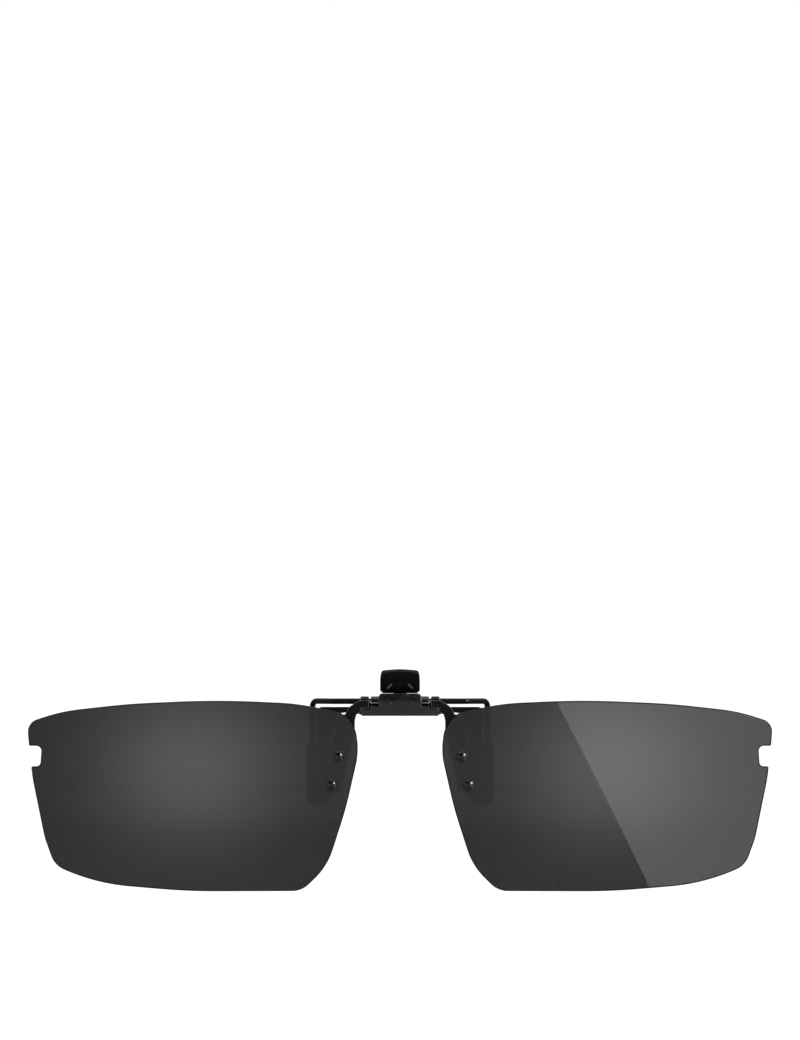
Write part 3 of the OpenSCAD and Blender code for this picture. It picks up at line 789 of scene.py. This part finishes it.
wire_path = [Vector((-x, y, z)) * mm for x, y, z, _ in wire_half[::-1]] + \
            [Vector((x, y, z)) * mm for x, y, z, _ in wire_half]
wire_bends = [bend * mm for *_, bend in wire_half[::-1] + wire_half]
wire_coat = coated("black coated wire", (0.002, 0.002, 0.0027), (0.003, 0.003, 0.0038), (0.2, 0.32), 0.14,
                   6000.0, 0.003 * mm, 0.2)
fit(wire_along("claw wire", wire_path, wire_bends, wire_radius, wire_coat), "sprung_wire", "rear_claw",
    "claw_wire", wire_coat)


# ---- Rear sleeves ----
# The same soft sleeves, pushed over the wire's hairpins.
# They press on the back of the spectacle lenses.
fit_both(sleeve("rear sleeve", grip_gap), "rear_cushion", "rear_claw", "rear_sleeve",
         soft_black)


# ---- Thumb lever ----
# A nickel-plated steel paddle whose foot is rolled round the claw wire and fixed to it.
# It leans forward over the bridge, and its shoulder shows as a bright line under the pad.
fit(softened("thumb_lever", 0.06 * mm), "paddle", "rear_claw", "thumb_lever", nickel)


# ---- Thumb pad ----
# A moulded black plastic pad pushed over the paddle. Its face is dished for the thumb,
# its top is arched, and two short slanting ribs stand on the face.
pad_lean = math.radians(25)
pad_half_thick = 0.65
pad_foot, pad_rim = 3.4, 0.22
pad_top = pad_foot - 0.23
pad_corners = [(pad_foot, 1.85, 0.6), (pad_foot - 0.02, 4.3, 4), (pad_top, 5.6, 0.6), (0, 5.88, 12),
               (-pad_top, 5.6, 0.6), (0.02 - pad_foot, 4.3, 4), (-pad_foot, 1.85, 0.6)]
pad_dish = 0.1
pad_turn = Matrix.Rotation(pad_lean, 3, "X")
rib_low, rib_high, rib_half_width, rib_height = Vector((2.08, 2.8)), Vector((1.5, 3.4)), 0.14, 0.12


def rib_at(x, z):
    """How much of the rib's height stands at a place on the pad's face."""
    here, rib = Vector((abs(x), z)) / mm, rib_high - rib_low
    along = max(0.0, min(1.0, (here - rib_low).dot(rib) / rib.length_squared))
    return math.exp(-((here - rib_low.lerp(rib_high, along)).length / rib_half_width) ** 2)


def pad_place(x, z, depth):
    """A point of the pad from its place on the pad's face, leant forward round the wire."""
    if depth < pad_half_thick * mm:
        dish = max(0.0, 1 - (x / mm / 3) ** 2) * max(0.0, 1 - ((z / mm - 3.65) / 1.65) ** 2)
        depth += (pad_dish * dish - rib_height * rib_at(x, z)) * mm
    return wire_axis + pad_turn @ Vector((x, depth - pad_half_thick * mm, z))


pad_plastic = coated("pad plastic", (0.0022, 0.0021, 0.0034), (0.0034, 0.0033, 0.005), (0.38, 0.5), 0.05,
                     8000.0, 0.004 * mm, 0.6, (0.1, 0.1, 0.11))
pad_mesh = moulded("pad", rounded(pad_corners, 5, 0.25), round_rim(2 * pad_half_thick * mm, pad_rim * mm),
                   pad_place, 0.1 * mm)
# Painted highlight: only the ribs are marked as edges, so the pad's lighter edge colour paints them where
# light would glint on them.
for vert, rib_highlight in zip(pad_mesh.vertices, pad_mesh.attributes["edge"].data):
    local = pad_turn.transposed() @ (vert.co - wire_axis)
    rib_highlight.value = rib_at(local.x, local.z) if local.y < 0 else 0.0
fit(pad_mesh, "moulded_pad", "rear_claw", "thumb_pad", pad_plastic)


# ---- Torsion springs ----
# Two close-wound springs of bright steel wire round the claw wire, each side of the lever.
# Each one's long leg hangs behind the bridge plate.
coil_radius, coil_wire, coil_first, coil_last, coil_turns = 0.7, 0.15 * mm, 1.5, 2.86, 4
coil_steps = 28
spring_path = []
for k in range(coil_turns * coil_steps + 1):
    turn = k / coil_steps
    angle = math.tau * (coil_turns - turn)
    coil_x = coil_first + (coil_last - coil_first) * turn / coil_turns
    spring_path.append(wire_axis + Vector((coil_x, coil_radius * math.cos(angle),
                                           coil_radius * math.sin(angle))) * mm)
spring_path += [spring_path[-1] + Vector((0, 0, -drop)) * mm for drop in (0.4, 0.8, 1.2, 1.65)]
coil_steel = plated("coil steel", (0.3, 0.3, 0.32), (0.42, 0.42, 0.44), (0.18, 0.35), 7000.0, 0.002 * mm)
fit_both(wire_along("torsion spring", spring_path, [0.0] * len(spring_path), coil_wire, coil_steel, 1, 14),
         "wound_spring", "bridge", "torsion_spring", coil_steel)
